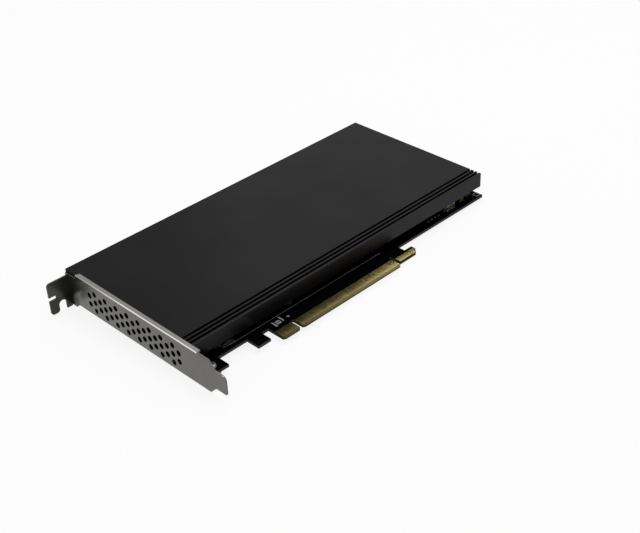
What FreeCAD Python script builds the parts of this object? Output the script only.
import FreeCAD, Part
import math
import os
import re
import Sketcher

# Expansion card for a x16 edge slot.  It carries four flat storage drives side by side
# under one aluminium cover.
# Frame: X runs along the card from the slot bracket to the far end, Y runs up the card
# from the tips of its edge contacts, and Z leaves the component face.  The origin is the
# middle of the key notch, at the contact tips, on the component face.  Millimetres.

SIZES = {
    # printed circuit board
    "board_thick": 1.57, "board_left": -57.2, "board_right": 156.0, "board_top": 111.15,
    "body_bottom": 12.8, "foot_right": -43.2, "foot_bottom": 5.0,
    "tooth_left": -24.8, "tooth_right": -16.8, "tooth_bottom": 4.6,
    "edge_left": -12.15, "edge_right": 72.15, "key_width": 1.9, "key_depth": 8.0,
    "tip_corner": 1.0, "gap_depth": 11.4, "bevel_rise": 1.3, "bevel_depth": 0.4,
    "hook_gap": 1.45, "hook_gap_depth": 9.0, "hook_stem": 9.8, "hook_nose": 15.05,
    "hook_low": 2.1, "hook_top": 7.8, "hook_cut": 2.8,
    # gold contacts on the edge
    "pad_width": 0.7, "pad_pitch": 1.0, "pad_length": 5.6, "pad_thick": 0.05,
    "pad_inset": 0.55, "pads_before_key": 11, "pads_after_key": 71,
    "plate_margin": 0.35, "plate_high": 3.7,
    # slot bracket, one folded sheet
    "sheet": 0.86, "face_x": -59.05, "face_low": -4.07, "face_width": 18.42,
    "tab_y": 110.2, "bracket_length": 121.7, "tab_depth": 11.9, "tab_low": -8.3,
    "tab_width": 18.8, "tail_inset": 4.11, "tail_length": 7.3, "tail_slope": 4.0,
    "tail_round": 2.8, "tail_corner": 0.8, "neck_y": 104.0, "step_y": 101.2,
    "neck_shift": 2.35, "lip_width": 2.5, "lip_start": 8.1, "lip_end": 100.5,
    "bend_round": 0.6, "slot_width": 4.42, "slot_middle": 4.6, "slot_end": -2.2,
    "tab_round": 1.8, "notch_width": 2.1, "notch_depth": 4.2, "notch_z": 1.3,
    "vent_spacing": 4.98, "vent_hole": 3.2, "vent_z": 4.45, "vent_first": 21.3,
    "vent_pairs": 9,
    # bracket ears, the screws through them and their clinch nuts
    "ear_reach": 13.0, "ear_width": 9.0, "ear_corner": 2.0, "screw_hole": 3.2,
    "screw_x": -50.2, "low_screw_y": 9.7, "high_screw_drop": 6.4,
    "head_round": 5.4, "head_crown": 4.1, "head_high": 1.9, "shank_round": 3.0,
    "nut_flats": 5.5, "nut_high": 1.6,
    # aluminium cover, an extruded plate
    "cover_gap": 4.9, "cover_thick": 8.5, "cover_left": -58.1, "cover_front": 14.4,
    "cover_back": 111.0, "groove_width": 1.05, "groove_pitch": 2.6, "groove_depth": 1.6,
    "groove_count": 3, "rim_width": 1.5, "pedestal_side": 30.0, "pedestal_drop": 1.3,
    # spacers and screws between board and cover
    "spacer_flats": 5.0, "spacer_bore": 3.2, "post_left": -39.0, "post_middle": 9.0,
    "post_inset": 6.0, "screw_grip": 5.0, "tap_spare": 1.0, "cover_shank": 2.9,
    "tapped_hole": 3.0, "cover_head": 5.0, "cover_head_high": 1.4,
    # switch chip and the pad on it
    "chip_x": -16.0, "chip_y": 62.5, "chip_side": 27.0, "chip_board": 1.2,
    "lid_side": 23.0, "lid_high": 1.7, "lid_corner": 1.5,
    # drive sockets
    "socket_x": 126.6, "socket_long": 21.9, "socket_deep": 9.4, "socket_high": 4.2,
    "row_rise": 7.05, "row_pitch": 23.9, "row_count": 4, "jaw_back": 1.7,
    "socket_slope": 0.8, "mouth_long": 19.85, "mouth_high": 1.4, "mouth_low": 1.9,
    "mouth_deep": 4.6, "key_offset": 6.1, "key_bar": 1.2, "tail_pitch": 0.5,
    "tail_wide": 0.22, "tail_reach": 1.1, "tail_thick": 0.18, "tail_count": 37,
    "clip_start": 2.0, "clip_long": 6.6, "clip_high": 3.2, "clip_thick": 0.25,
    "clip_foot": 0.9,
    # holes for the drives' standoffs, at the usual drive lengths
    "drive_seat": 1.0, "drive_hole": 3.5, "drive_a": 42.0, "drive_b": 60.0,
    "drive_c": 80.0, "drive_d": 110.0,
    # power supply beside the bracket
    "coil_side": 7.0, "coil_high": 3.8, "coil_corner": 1.2, "coil_inset": 8.7,
    "coil_rise": 12.6, "coil_pitch": 12.0, "coil_count": 4, "regulator_side": 5.0,
    "regulator_high": 0.9, "regulator_gap": 3.5, "fuse_x": -33.0, "fuse_rise": 3.6,
    "bulk_long": 3.5, "bulk_wide": 2.8, "bulk_high": 2.8, "bulk_inset": 9.0,
    "bulk_pitch": 5.0, "bulk_shift": 4.5, "bulk_corner": 13.75, "bulk_rise": 3.8,
    "fuse_long": 6.1, "fuse_wide": 2.6, "fuse_high": 1.6,
    # small capacitors, resistors and lights
    "large_cap_long": 2.0, "large_cap_wide": 1.25, "large_cap_high": 1.0,
    "lane_cap_long": 1.0, "lane_cap_wide": 0.5, "small_long": 1.6, "small_wide": 0.8,
    "resistor_high": 0.45, "light_high": 0.6, "light_rise": 4.0,
    "lane_gap": 4.2, "lane_first": 3.0, "lane_pitch": 2.0, "lane_count": 32,
    "cap_gap": 1.9, "cap_column": 2.5, "cap_pitch": 3.0, "chip_gap": 4.5,
    # clock, memory and test header round the chip
    "clock_side": 6.0, "clock_high": 0.85, "clock_rise": 27.5, "crystal_long": 3.2,
    "crystal_wide": 2.5, "crystal_high": 0.8, "crystal_shift": 12.0, "memory_shift": 10.0,
    "memory_wide": 3.9, "memory_long": 5.0, "memory_high": 1.5, "leg_pitch": 1.27,
    "leg_wide": 0.4, "leg_reach": 1.05, "leg_thick": 0.2, "leg_count": 4,
    "pin_pitch": 1.27, "pin_wide": 0.4, "pin_high": 4.2, "pin_count": 5,
    "header_high": 1.5, "header_inset": 10.0, "header_drop": 14.0,
}

doc = FreeCAD.newDocument("drive_adapter_card")
sheet = doc.addObject("Spreadsheet::Sheet", "Sizes")
for row, (alias, number) in enumerate(SIZES.items(), start=1):
    sheet.set(f"A{row}", alias)
    sheet.set(f"B{row}", str(number))
    sheet.setAlias(f"B{row}", alias)
doc.recompute()

PARTS = []


# ---------------------------------------------------------------- helpers

def linked(formula):
    """Formula with each size name pointed at the spreadsheet."""
    return re.sub(r"[a-z]+(?:_[a-z]+)*", lambda word: "Sizes." + word.group(), formula)


def amount(formula):
    """Present value of a formula of size names."""
    return float(sheet.evalExpression(formula))


def count(name):
    """A size that is a whole number of things."""
    return round(amount(name))


def bind(thing, **formulas):
    """Tie properties to formulas of size names."""
    for name, formula in formulas.items():
        thing.setExpression(name, linked(formula))


def place(thing, across="0", up="0", out="0"):
    for axis, formula in zip("xyz", (across, up, out)):
        thing.setExpression(f"Placement.Base.{axis}", linked(formula))


def keep(thing, label):
    """Count a finished object as a sub-part under its node name."""
    thing.Label = label
    PARTS.append(thing)
    return thing


def new_body(name):
    body = doc.addObject("PartDesign::Body", name)
    body.AllowCompound = True
    return body


def new_sketch(body, name, role, offset="0"):
    """Sketch on one of the body's own origin planes, moved along its normal."""
    sketch = body.newObject("Sketcher::SketchObject", name)
    plane = next(item for item in body.Origin.OriginFeatures if item.Role == role)
    sketch.AttachmentSupport = [(plane, "")]
    sketch.MapMode = "FlatFace"
    sketch.setExpression("AttachmentOffset.Base.z", linked(offset))
    return sketch


def pin_points(sketch, points):
    """Hold sketch points at formulas of size names: (curve, point, across, up)."""
    rules, formulas = [], []
    for curve, point, across, up in points:
        for kind, formula in (("DistanceX", across), ("DistanceY", up)):
            rules.append(Sketcher.Constraint(kind, -1, 1, curve, point, amount(formula)))
            formulas.append(formula)
    first = sketch.ConstraintCount
    sketch.addConstraint(rules)
    for number, formula in enumerate(formulas, start=first):
        sketch.setExpression(f"Constraints[{number}]", linked(formula))


def draw_outline(sketch, corners):
    """Closed outline of straight edges through corners given as formulas."""
    spots = [FreeCAD.Vector(amount(across), amount(up), 0) for across, up in corners]
    first = sketch.GeometryCount
    total = len(corners)
    edges = [Part.LineSegment(spots[i], spots[(i + 1) % total]) for i in range(total)]
    sketch.addGeometry(edges, False)
    joins = [
        Sketcher.Constraint("Coincident", first + i, 2, first + (i + 1) % total, 1)
        for i in range(total)
    ]
    sketch.addConstraint(joins)
    pin_points(sketch, [(first + i, 1, *corners[i]) for i in range(total)])


def draw_box(sketch, left, right, low, high):
    draw_outline(sketch, [(left, low), (right, low), (right, high), (left, high)])


def ring(across, up, diameter, sides):
    """Corners of a regular polygon drawn in a circle, as formulas."""
    turns = [2 * math.pi * i / sides for i in range(sides)]
    return [
        (f"{across} + {diameter} * {math.cos(turn) / 2:.5f}",
         f"{up} + {diameter} * {math.sin(turn) / 2:.5f}")
        for turn in turns
    ]


def draw_circles(sketch, centres, diameter):
    """Circles of one diameter round centres given as formulas."""
    first = sketch.GeometryCount
    up_axis = FreeCAD.Vector(0, 0, 1)
    circles = [
        Part.Circle(FreeCAD.Vector(amount(x), amount(y), 0), up_axis, amount(diameter) / 2)
        for x, y in centres
    ]
    sketch.addGeometry(circles, False)
    pin_points(sketch, [(first + i, 3, x, y) for i, (x, y) in enumerate(centres)])
    rules = [
        Sketcher.Constraint("Diameter", first + i, amount(diameter))
        for i in range(len(centres))
    ]
    number = sketch.ConstraintCount
    sketch.addConstraint(rules)
    for i in range(len(centres)):
        sketch.setExpression(f"Constraints[{number + i}]", linked(diameter))


def pad(body, name, sketch, length, back=False):
    feature = body.newObject("PartDesign::Pad", name)
    feature.Profile = sketch
    feature.Reversed = back
    bind(feature, Length=length)
    doc.recompute()
    return feature


def pocket(body, name, sketch, depth=None, back=False):
    """Cut a sketch out of the body, right through unless a depth is given."""
    before = body.Shape.Volume
    feature = body.newObject("PartDesign::Pocket", name)
    feature.Profile = sketch
    feature.Reversed = back
    if depth is None:
        feature.Type = "ThroughAll"
    else:
        bind(feature, Length=depth)
    doc.recompute()
    if body.Shape.Volume > before - 1e-6:
        raise RuntimeError(f"{name} cuts nothing")
    return feature


def row_of(body, name, feature, sketch, axis, pitch, number):
    """Repeat a feature along a sketch axis."""
    pattern = body.newObject("PartDesign::LinearPattern", name)
    pattern.Originals = [feature]
    pattern.Direction = (sketch, [axis])
    bind(pattern, Length=f"({number} - 1) * {pitch}", Occurrences=number)
    body.Tip = pattern
    doc.recompute()
    return pattern


def grid_of(body, name, feature, sketch, columns, rows):
    """Repeat a feature along both sketch axes: (pitch, number) for each."""
    grid = body.newObject("PartDesign::MultiTransform", name)
    runs = []
    for axis, (pitch, number) in (("H_Axis", columns), ("V_Axis", rows)):
        run = body.newObject("PartDesign::LinearPattern", f"{name}_{axis}")
        run.Direction = (sketch, [axis])
        bind(run, Length=f"({number} - 1) * {pitch}", Occurrences=number)
        runs.append(run)
    grid.Originals = [feature]
    grid.Transformations = runs
    body.Tip = grid
    doc.recompute()
    return grid


def round_edges(body, name, radius, direction, spots):
    """Fillet the straight edges along one axis that pass through the given spots."""
    base = body.Tip
    names = []
    for number, edge in enumerate(base.Shape.Edges, start=1):
        if edge.Curve.TypeId != "Part::GeomLine":
            continue
        if abs(abs(edge.tangentAt(edge.FirstParameter).dot(direction)) - 1) > 1e-6:
            continue
        middle = edge.CenterOfMass
        for spot in spots:
            gap = FreeCAD.Vector(*[amount(value) for value in spot]) - middle
            if (gap - direction * gap.dot(direction)).Length < 1e-4:
                names.append(f"Edge{number}")
    fillet = body.newObject("PartDesign::Fillet", name)
    fillet.Base = (base, names)
    bind(fillet, Radius=radius)
    doc.recompute()
    return fillet


def new_block(name, middle_x, middle_y, low, length, width, height):
    """Rectangular block on a level, centred on a spot of the board."""
    block = doc.addObject("Part::Box", name)
    bind(block, Length=length, Width=width, Height=height)
    place(block, f"{middle_x} - ({length}) / 2", f"{middle_y} - ({width}) / 2", low)
    return block


def new_prism(name, x, y, low, across, height, sides):
    """Upright prism with regular sides, drawn in a circle of the given diameter."""
    prism = doc.addObject("Part::Prism", name)
    prism.Polygon = sides
    bind(prism, Circumradius=f"({across}) / 2", Height=height)
    place(prism, x, y, low)
    return prism


def new_cut(name, base, tool):
    cut = doc.addObject("Part::Cut", name)
    cut.Base = base
    cut.Tool = tool
    return cut


def new_fuse(name, *shapes):
    fuse = doc.addObject("Part::MultiFuse", name)
    fuse.Shapes = list(shapes)
    return fuse


def gather(label, members):
    """Like pieces kept together in one node, each a solid of its own."""
    group = doc.addObject("Part::Compound", label)
    group.Links = members
    return keep(group, label)


ALONG_X = FreeCAD.Vector(1, 0, 0)
ALONG_Y = FreeCAD.Vector(0, 1, 0)
ALONG_Z = FreeCAD.Vector(0, 0, 1)

# Places that several pieces share, as formulas.
FACE_HIGH = "face_low + face_width"
TAIL_Y = "tab_y - bracket_length"
HIGH_SCREW_Y = "step_y - high_screw_drop"
COVER_TOP = "cover_gap + cover_thick"
POST_LOW_Y = "cover_front + post_inset"
POST_HIGH_Y = "cover_back - post_inset"
POST_RIGHT = "board_right - post_inset"
POSTS = [
    (x, y)
    for x in ("post_left", "post_middle", POST_RIGHT)
    for y in (POST_LOW_Y, POST_HIGH_Y)
]
BRACKET_SCREWS = [("screw_x", "low_screw_y"), ("screw_x", HIGH_SCREW_Y)]
HOOK_LEFT = "edge_right + hook_gap"
HOOK_END = f"{HOOK_LEFT} + hook_nose"
FIRST_ROW = f"{POST_LOW_Y} + row_rise"
ROWS = [f"{FIRST_ROW} + {i} * row_pitch" for i in range(count("row_count"))]
DRIVE_LENGTHS = ("drive_a", "drive_b", "drive_c", "drive_d")
COIL_X = "board_left + coil_inset"
COIL_ROWS = [f"{POST_LOW_Y} + coil_rise + {i} * coil_pitch" for i in range(count("coil_count"))]
BEHIND_SOCKET = "socket_x + socket_deep + tail_reach"
ABOVE_CHIP = "chip_y + clock_rise"
HEX_CORNERS = 1 / math.cos(math.pi / 6)
SMALL_ROUND = 12
VENT_SIDES = 16


# ---------------------------------------------------------------- circuit board

def make_board():
    body = new_body("board")
    shape = new_sketch(body, "board_outline", "XY_Plane")
    draw_outline(shape, [
        ("board_left", "foot_bottom"), ("foot_right", "foot_bottom"),
        ("foot_right", "body_bottom"), ("tooth_left", "body_bottom"),
        ("tooth_left", "tooth_bottom"), ("tooth_right", "tooth_bottom"),
        ("tooth_right", "gap_depth"), ("edge_left", "gap_depth"),
        ("edge_left", "tip_corner"), ("edge_left + tip_corner", "0"),
        ("edge_right - tip_corner", "0"), ("edge_right", "tip_corner"),
        ("edge_right", "hook_gap_depth"), (HOOK_LEFT, "hook_gap_depth"),
        (HOOK_LEFT, "hook_low"), (f"{HOOK_END} - hook_cut", "hook_low"),
        (HOOK_END, "hook_low + hook_cut"), (HOOK_END, "hook_top"),
        (f"{HOOK_LEFT} + hook_stem", "hook_top"),
        (f"{HOOK_LEFT} + hook_stem", "body_bottom"),
        ("board_right", "body_bottom"), ("board_right", "board_top"),
        ("board_left", "board_top"),
    ])
    pad(body, "board_pad", shape, "board_thick", back=True)

    # The key notch has a flared mouth and a round end.
    key = new_sketch(body, "key_sides", "XY_Plane")
    flare = "key_width / 2 + 2 * tip_corner"
    key_end_y = "key_depth - key_width / 2"
    draw_outline(key, [
        (f"-({flare})", "-tip_corner"), (flare, "-tip_corner"),
        ("key_width / 2", "tip_corner"), ("key_width / 2", key_end_y),
        ("-key_width / 2", key_end_y), ("-key_width / 2", "tip_corner"),
    ])
    pocket(body, "key_cut", key)
    key_end = new_sketch(body, "key_end", "XY_Plane")
    draw_circles(key_end, [("0", key_end_y)], "key_width")
    pocket(body, "key_end_cut", key_end)

    holes = new_sketch(body, "screw_holes", "XY_Plane")
    for x, y in BRACKET_SCREWS + POSTS:
        draw_outline(holes, ring(x, y, "screw_hole", SMALL_ROUND))
    pocket(body, "screw_hole_cut", holes)
    seats = new_sketch(body, "drive_holes", "XY_Plane")
    draw_circles(seats, [
        (f"socket_x + drive_seat - {length}", row)
        for row in ROWS for length in DRIVE_LENGTHS
    ], "drive_hole")
    pocket(body, "drive_hole_cut", seats)

    # The contact tips are bevelled on both faces so that they find the slot.
    bevel = new_sketch(body, "tip_bevels", "YZ_Plane", "board_right")
    for face, inner in (("0", "-bevel_depth"), ("-board_thick", "bevel_depth - board_thick")):
        draw_outline(bevel, [("0", face), ("bevel_rise", face), ("0", inner)])
    pocket(body, "tip_bevel_cut", bevel)
    keep(body, "printed_circuit_board")


def make_edge_contacts(label, level, back):
    """Gold contacts on one face, in two runs either side of the key, and on the hook."""
    body = new_body(label + "_body")
    beside_key = "(key_width / 2 + pad_inset)"
    runs = (
        ("short_run", f"-{beside_key} - (pads_before_key - 1) * pad_pitch", "pads_before_key"),
        ("long_run", beside_key, "pads_after_key"),
    )
    for name, middle, number in runs:
        one = new_sketch(body, f"{label}_{name}_sketch", "XY_Plane", level)
        draw_box(one, f"{middle} - pad_width / 2", f"{middle} + pad_width / 2",
                 "bevel_rise", "bevel_rise + pad_length")
        first = pad(body, f"{label}_{name}_pad", one, "pad_thick", back)
        row_of(body, f"{label}_{name}", first, one, "H_Axis", "pad_pitch", number)
    hook = new_sketch(body, f"{label}_hook_sketch", "XY_Plane", level)
    low = "hook_low + plate_margin"
    end = f"{HOOK_END} - plate_margin"
    draw_outline(hook, [
        (f"{HOOK_LEFT} + plate_margin", low), (f"{end} - hook_cut", low),
        (end, f"{low} + hook_cut"), (end, f"{low} + plate_high"),
        (f"{HOOK_LEFT} + plate_margin", f"{low} + plate_high"),
    ])
    pad(body, f"{label}_hook_pad", hook, "pad_thick", back)
    keep(body, label)


# ---------------------------------------------------------------- slot bracket

def make_bracket():
    body = new_body("bracket_body")
    neck_low = "face_low - neck_shift"
    neck_high = f"{FACE_HIGH} - neck_shift"
    tail_step = f"{TAIL_Y} + tail_length"
    face = new_sketch(body, "face_outline", "YZ_Plane", "face_x")
    draw_outline(face, [
        (TAIL_Y, "face_low + tail_inset"), (tail_step, "face_low + tail_inset"),
        (f"{tail_step} + tail_slope", "face_low"), ("step_y", "face_low"),
        ("neck_y", neck_low), ("tab_y", neck_low), ("tab_y", neck_high),
        ("step_y", neck_high), ("step_y", FACE_HIGH),
        (f"{tail_step} + tail_slope", FACE_HIGH),
        (tail_step, f"{FACE_HIGH} - tail_inset"), (TAIL_Y, f"{FACE_HIGH} - tail_inset"),
    ])
    pad(body, "face_pad", face, "sheet")

    lip = new_sketch(body, "lip_outline", "XY_Plane", FACE_HIGH)
    draw_box(lip, "face_x", "face_x + lip_width", "lip_start", "lip_end")
    pad(body, "lip_pad", lip, "sheet", back=True)

    slot_left = "face_x - slot_middle - slot_width / 2"
    slot_right = "face_x - slot_middle + slot_width / 2"
    tab_out = "face_x - tab_depth"
    tab_high = "tab_low + tab_width"
    tab = new_sketch(body, "tab_outline", "XZ_Plane", "-tab_y")
    draw_outline(tab, [
        ("face_x + sheet", "tab_low"), (slot_right, "tab_low"),
        (slot_right, "slot_end - slot_width / 2"), (slot_left, "slot_end - slot_width / 2"),
        (slot_left, "tab_low"), (tab_out, "tab_low"),
        (tab_out, "notch_z - notch_width / 2"),
        (f"{tab_out} + notch_depth", "notch_z - notch_width / 2"),
        (f"{tab_out} + notch_depth", "notch_z + notch_width / 2"),
        (tab_out, "notch_z + notch_width / 2"), (tab_out, tab_high),
        ("face_x + sheet", tab_high),
    ])
    pad(body, "tab_pad", tab, "sheet")
    slot_end = new_sketch(body, "slot_end_round", "XZ_Plane", "-tab_y")
    draw_circles(slot_end, [("face_x - slot_middle", "slot_end - slot_width / 2")], "slot_width")
    pocket(body, "slot_end_cut", slot_end, "sheet", back=True)

    ears = new_sketch(body, "ear_outline", "XY_Plane", "-board_thick")
    for x, y in BRACKET_SCREWS:
        low, high = f"{y} - ear_width / 2", f"{y} + ear_width / 2"
        draw_outline(ears, [
            ("face_x + sheet / 2", low), ("face_x + ear_reach - ear_corner", low),
            ("face_x + ear_reach", f"{low} + ear_corner"),
            ("face_x + ear_reach", f"{high} - ear_corner"),
            ("face_x + ear_reach - ear_corner", high), ("face_x + sheet / 2", high),
        ])
    pad(body, "ear_pad", ears, "sheet", back=True)
    ear_holes = new_sketch(body, "ear_holes", "XY_Plane", "-board_thick")
    for x, y in BRACKET_SCREWS:
        draw_outline(ear_holes, ring(x, y, "screw_hole", SMALL_ROUND))
    pocket(body, "ear_hole_cut", ear_holes)

    round_edges(body, "tab_bend", "bend_round", ALONG_Z, [("face_x + sheet", "tab_y", "0")])
    round_edges(body, "lip_bend", "bend_round", ALONG_Y, [("face_x", "0", FACE_HIGH)])
    round_edges(body, "tab_corners", "tab_round", ALONG_Y,
                [(tab_out, "0", tab_high), (tab_out, "0", "tab_low"),
                 (slot_left, "0", "tab_low")])
    round_edges(body, "tail_high_corner", "tail_round", ALONG_X,
                [("0", TAIL_Y, f"{FACE_HIGH} - tail_inset")])
    round_edges(body, "tail_low_corner", "tail_corner", ALONG_X,
                [("0", TAIL_Y, "face_low + tail_inset")])

    # Round vents stand in a honeycomb: columns of two and of three take turns.
    column = f"vent_spacing * {math.cos(math.pi / 6):.5f}"
    for name, y, half, rows, columns in (
        ("pair", "vent_first", 0.5, "2", "vent_pairs"),
        ("triple", f"vent_first + {column}", 1, "3", "(vent_pairs - 1)"),
    ):
        one = new_sketch(body, f"vent_{name}", "YZ_Plane", "face_x + sheet")
        draw_outline(one, ring(y, f"vent_z - {half} * vent_spacing", "vent_hole", VENT_SIDES))
        cut = pocket(body, f"vent_{name}_cut", one)
        grid_of(body, f"vent_{name}s", cut, one,
                (f"2 * {column}", columns), ("vent_spacing", rows))
    keep(body, "slot_bracket")


def make_bracket_screws():
    screws, nuts = [], []
    under_ear = "-board_thick - sheet"
    for number, (x, y) in enumerate(BRACKET_SCREWS):
        head = doc.addObject("Part::Cone", f"bracket_head_{number}")
        bind(head, Radius1="head_round / 2", Radius2="head_crown / 2", Height="head_high")
        place(head, x, y)
        low = f"{under_ear} - nut_high"
        shank = new_prism(f"bracket_shank_{number}", x, y, low, "shank_round",
                          f"-({low})", SMALL_ROUND)
        screws.append(new_fuse(f"bracket_screw_{number}", head, shank))
        nut = new_prism(f"bracket_hex_{number}", x, y, low, f"nut_flats * {HEX_CORNERS:.5f}",
                        "nut_high", 6)
        bore = new_prism(f"bracket_bore_{number}", x, y, low, "shank_round", "nut_high",
                         SMALL_ROUND)
        nuts.append(new_cut(f"bracket_nut_{number}", nut, bore))
    gather("bracket_screws", screws)
    gather("bracket_nuts", nuts)


# ---------------------------------------------------------------- cover

def make_cover():
    body = new_body("cover_body")
    section = new_sketch(body, "cover_section", "YZ_Plane", "cover_left")
    corners = [("cover_front", "cover_gap"), ("cover_back", "cover_gap"),
               ("cover_back", COVER_TOP)]
    floor = f"{COVER_TOP} - groove_depth"
    for number in reversed(range(count("groove_count"))):
        near = f"cover_front + rim_width + {number} * groove_pitch"
        far = f"{near} + groove_width"
        corners += [(far, COVER_TOP), (far, floor), (near, floor), (near, COVER_TOP)]
    corners.append(("cover_front", COVER_TOP))
    draw_outline(section, corners)
    pad(body, "cover_pad", section, "board_right - cover_left")

    step = new_sketch(body, "pedestal_outline", "XY_Plane", "cover_gap")
    draw_box(step, "chip_x - pedestal_side / 2", "chip_x + pedestal_side / 2",
             "chip_y - pedestal_side / 2", "chip_y + pedestal_side / 2")
    pad(body, "pedestal_pad", step, "pedestal_drop", back=True)

    taps = new_sketch(body, "cover_taps", "XY_Plane", "cover_gap")
    for x, y in POSTS:
        draw_outline(taps, ring(x, y, "tapped_hole", SMALL_ROUND))
    pocket(body, "cover_tap_cut", taps, "screw_grip + tap_spare", back=True)
    keep(body, "cover_plate")


def make_cover_fastening():
    spacers, screws = [], []
    for number, (x, y) in enumerate(POSTS):
        post = new_prism(f"spacer_hex_{number}", x, y, "0", f"spacer_flats * {HEX_CORNERS:.5f}",
                         "cover_gap", 6)
        bore = new_prism(f"spacer_bore_{number}", x, y, "0", "spacer_bore", "cover_gap",
                         SMALL_ROUND)
        spacers.append(new_cut(f"spacer_{number}", post, bore))
        head = new_prism(f"cover_head_{number}", x, y, "-board_thick - cover_head_high",
                         "cover_head", "cover_head_high", 2 * SMALL_ROUND)
        shank = new_prism(f"cover_shank_{number}", x, y, "-board_thick", "cover_shank",
                          "board_thick + cover_gap + screw_grip", SMALL_ROUND)
        screws.append(new_fuse(f"cover_screw_{number}", head, shank))
    gather("cover_spacers", spacers)
    gather("cover_screws", screws)


# ---------------------------------------------------------------- switch chip

def cut_corner_block(body, name, x, y, side, corner):
    """Sketch of a square with its four corners cut, centred on a spot."""
    sketch = new_sketch(body, name, "XY_Plane")
    left, right = f"{x} - {side} / 2", f"{x} + {side} / 2"
    low, high = f"{y} - {side} / 2", f"{y} + {side} / 2"
    draw_outline(sketch, [
        (f"{left} + {corner}", low), (f"{right} - {corner}", low),
        (right, f"{low} + {corner}"), (right, f"{high} - {corner}"),
        (f"{right} - {corner}", high), (f"{left} + {corner}", high),
        (left, f"{high} - {corner}"), (left, f"{low} + {corner}"),
    ])
    return sketch


def make_switch_chip():
    carrier = new_block("chip_board_block", "chip_x", "chip_y", "0",
                        "chip_side", "chip_side", "chip_board")
    keep(carrier, "switch_chip_carrier")
    lid = new_body("chip_lid_body")
    shape = cut_corner_block(lid, "lid_outline", "chip_x", "chip_y", "lid_side", "lid_corner")
    pad(lid, "lid_pad", shape, "lid_high")
    place(lid, out="chip_board")
    keep(lid, "switch_chip_lid")
    top = "chip_board + lid_high"
    soft = new_block("chip_pad_block", "chip_x", "chip_y", top, "lid_side", "lid_side",
                     f"cover_gap - pedestal_drop - ({top})")
    keep(soft, "chip_heat_pad")


# ---------------------------------------------------------------- drive sockets

def make_socket(number, row):
    """Flat-card socket: its mouth faces the bracket and takes a drive's gold edge."""
    label = f"drive_socket_{number}"
    body = new_body(label + "_body")
    # The lower jaw stands forward, so that a drive can be tipped in.
    side = new_sketch(body, label + "_side", "XZ_Plane", "-socket_long / 2")
    draw_outline(side, [
        ("0", "0"), ("socket_deep", "0"), ("socket_deep", "socket_high - socket_slope"),
        ("socket_deep - socket_slope", "socket_high"), ("jaw_back", "socket_high"),
        ("0", "mouth_low"),
    ])
    pad(body, label + "_pad", side, "socket_long")
    mouth = new_sketch(body, label + "_mouth", "YZ_Plane")
    for low, high in (("-mouth_long / 2", "key_offset - key_bar / 2"),
                      ("key_offset + key_bar / 2", "mouth_long / 2")):
        draw_box(mouth, low, high, "mouth_low", "mouth_low + mouth_high")
    pocket(body, label + "_mouth_cut", mouth, "mouth_deep", back=True)
    place(body, "socket_x", row)
    keep(body, label)

    tails = new_body(label + "_tail_body")
    one = new_sketch(tails, label + "_tail", "XY_Plane")
    start = "-(tail_count - 1) * tail_pitch / 2"
    draw_box(one, "0", "tail_reach", f"{start} - tail_wide / 2", f"{start} + tail_wide / 2")
    first = pad(tails, label + "_tail_pad", one, "tail_thick")
    row_of(tails, label + "_tail_row", first, one, "V_Axis", "tail_pitch", "tail_count")
    place(tails, "socket_x + socket_deep", row)
    keep(tails, f"socket_contacts_{number}")


def make_socket_clips():
    """Metal clips on both ends of each socket, with a foot soldered to the board."""
    clips = []
    middle = "socket_x + clip_start + clip_long / 2"
    for number, row in enumerate(ROWS):
        for side, sign in (("low", "-"), ("high", "+")):
            name = f"clip_{number}_{side}"
            wall = new_block(f"{name}_wall", middle,
                             f"{row} {sign} (socket_long + clip_thick) / 2", "0",
                             "clip_long", "clip_thick", "clip_high")
            foot = new_block(f"{name}_foot", middle,
                             f"{row} {sign} (socket_long + clip_foot) / 2", "0",
                             "clip_long", "clip_foot", "clip_thick")
            clips.append(new_fuse(name, wall, foot))
    gather("socket_clips", clips)


# ---------------------------------------------------------------- small parts

def spots(xs, ys):
    return [(x, y) for y in ys for x in xs]


def along(start, pitch, number):
    """Formulas of a row of evenly spaced places."""
    return [f"{start} + {i} * {pitch}" for i in range(number)]


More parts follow.
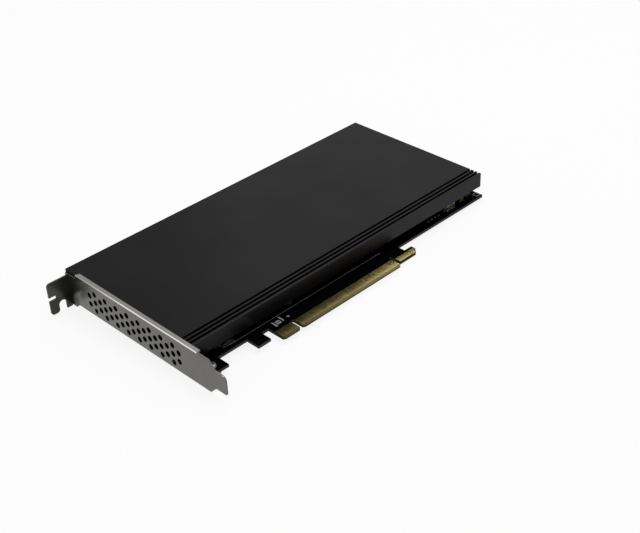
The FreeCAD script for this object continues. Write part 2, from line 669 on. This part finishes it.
def make_blocks():
    """Plain bodies soldered to the board: name, places, then length, width, height."""
    bulk_rows = [f"{row} + bulk_shift" for row in ROWS[:-1]]
    bulk_columns = ("board_right - bulk_inset", "board_right - bulk_inset + bulk_pitch")
    low_bulk = [("board_right - bulk_corner", "cover_front + bulk_rise")]
    cap_columns = (f"{BEHIND_SOCKET} + cap_gap", f"{BEHIND_SOCKET} + cap_gap + cap_column")
    cap_rows = [place for row in ROWS for place in along(f"{row} - 2 * cap_pitch", "cap_pitch", 5)]
    chip_columns = along("chip_x - 4 * cap_pitch", "cap_pitch", 10)
    chip_rows = ("chip_y - chip_side / 2 - chip_gap", "chip_y + chip_side / 2 + chip_gap")
    resistor_rows = along("chip_y - chip_side / 2 - chip_gap - 3 * cap_pitch", "cap_pitch", 2)
    groups = (
        ("regulator_chips", spots([f"{COIL_X} + (coil_side + regulator_side + regulator_gap) / 2"],
                                  COIL_ROWS), "regulator_side", "regulator_side", "regulator_high"),
        ("bulk_capacitors", spots(bulk_columns, bulk_rows) + low_bulk,
         "bulk_long", "bulk_wide", "bulk_high"),
        ("socket_capacitors", spots(cap_columns, cap_rows), "large_cap_wide", "large_cap_long",
         "large_cap_high"),
        ("lane_capacitors", spots(along("lane_first", "lane_pitch", count("lane_count")),
                                  [f"{POST_LOW_Y} + lane_gap"]),
         "lane_cap_wide", "lane_cap_long", "lane_cap_wide"),
        ("chip_capacitors", spots(chip_columns, chip_rows),
         "small_long", "small_wide", "small_wide"),
        ("resistors", spots(chip_columns, resistor_rows),
         "small_long", "small_wide", "resistor_high"),
        ("status_lights", spots(along("socket_x - 4.5 * cap_pitch", "cap_pitch", 4),
                                ["body_bottom + light_rise"]),
         "small_long", "small_wide", "light_high"),
        ("clock_chip", [("chip_x", ABOVE_CHIP)], "clock_side", "clock_side", "clock_high"),
        ("crystal", [("chip_x + crystal_shift", ABOVE_CHIP)],
         "crystal_long", "crystal_wide", "crystal_high"),
        ("power_fuse", [("fuse_x", "cover_front + fuse_rise")], "fuse_long", "fuse_wide", "fuse_high"),
    )
    for label, places, length, width, height in groups:
        gather(label, [
            new_block(f"{label}_{i}", x, y, "0", length, width, height)
            for i, (x, y) in enumerate(places)
        ])


def make_inductors():
    """Pressed ferrite blocks with cut corners, in a row beside the bracket."""
    body = new_body("inductor_body")
    shape = cut_corner_block(body, "inductor_outline", COIL_X, COIL_ROWS[0],
                             "coil_side", "coil_corner")
    first = pad(body, "inductor_pad", shape, "coil_high")
    row_of(body, "inductor_row", first, shape, "V_Axis", "coil_pitch", "coil_count")
    keep(body, "power_inductors")


def make_memory_chip():
    """Moulded body with a row of bent legs along two sides."""
    x, y = "(chip_x - memory_shift)", ABOVE_CHIP
    middle = new_block("memory_body", x, y, "leg_thick", "memory_wide", "memory_long",
                       "memory_high - leg_thick")
    pieces = [middle]
    for side in ("-", "+"):
        edge = f"{x} {side} memory_wide / 2"
        for i, row in enumerate(along(f"{y} - 1.5 * leg_pitch", "leg_pitch", count("leg_count"))):
            name = f"leg_{'low' if side == '-' else 'high'}_{i}"
            knee = new_block(f"{name}_knee", f"{edge} {side} leg_reach / 4", row, "0",
                             "leg_reach / 2", "leg_wide", "memory_high / 2")
            foot = new_block(f"{name}_foot", f"{edge} {side} leg_reach / 2", row, "0",
                             "leg_reach", "leg_wide", "leg_thick")
            pieces += [knee, foot]
    keep(new_fuse("memory_fuse", *pieces), "memory_chip")


def make_test_header():
    """Low header: two rows of square pins through a moulded bar."""
    x, y = "board_right - header_inset", "board_top - header_drop"
    places = spots([f"{x} - pin_pitch / 2", f"{x} + pin_pitch / 2"],
                   along(f"{y} - (pin_count - 1) * pin_pitch / 2", "pin_pitch",
                         count("pin_count")))
    pins = [
        new_block(f"header_pin_{i}", across, up, "0", "pin_wide", "pin_wide", "pin_high")
        for i, (across, up) in enumerate(places)
    ]
    bar = new_block("header_bar", x, y, "0", "2 * pin_pitch", "pin_count * pin_pitch",
                    "header_high")
    keep(new_cut("header_cut", bar, gather("test_header_pins", pins)), "test_header_base")


make_board()
make_edge_contacts("front_edge_contacts", "0", back=False)
make_edge_contacts("back_edge_contacts", "-board_thick", back=True)
make_bracket()
make_bracket_screws()
make_cover()
make_cover_fastening()
make_switch_chip()
for number, row in enumerate(ROWS, start=1):
    make_socket(number, row)
make_socket_clips()
make_blocks()
make_inductors()
make_memory_chip()
make_test_header()
doc.recompute()

for thing in doc.Objects:
    if "Invalid" in thing.State or "Error" in thing.State:
        raise RuntimeError(f"{thing.Name} did not compute")
for thing in PARTS:
    if thing.Shape.isNull() or not thing.Shape.isValid():
        raise RuntimeError(f"{thing.Label} has no valid shape")

os.makedirs("parts", exist_ok=True)
for thing in PARTS:
    thing.Shape.exportStep(f"parts/{thing.Label}.step")
    print(f"{thing.Label}: {len(thing.Shape.Solids)} solids, {thing.Shape.Volume:.1f} mm3")
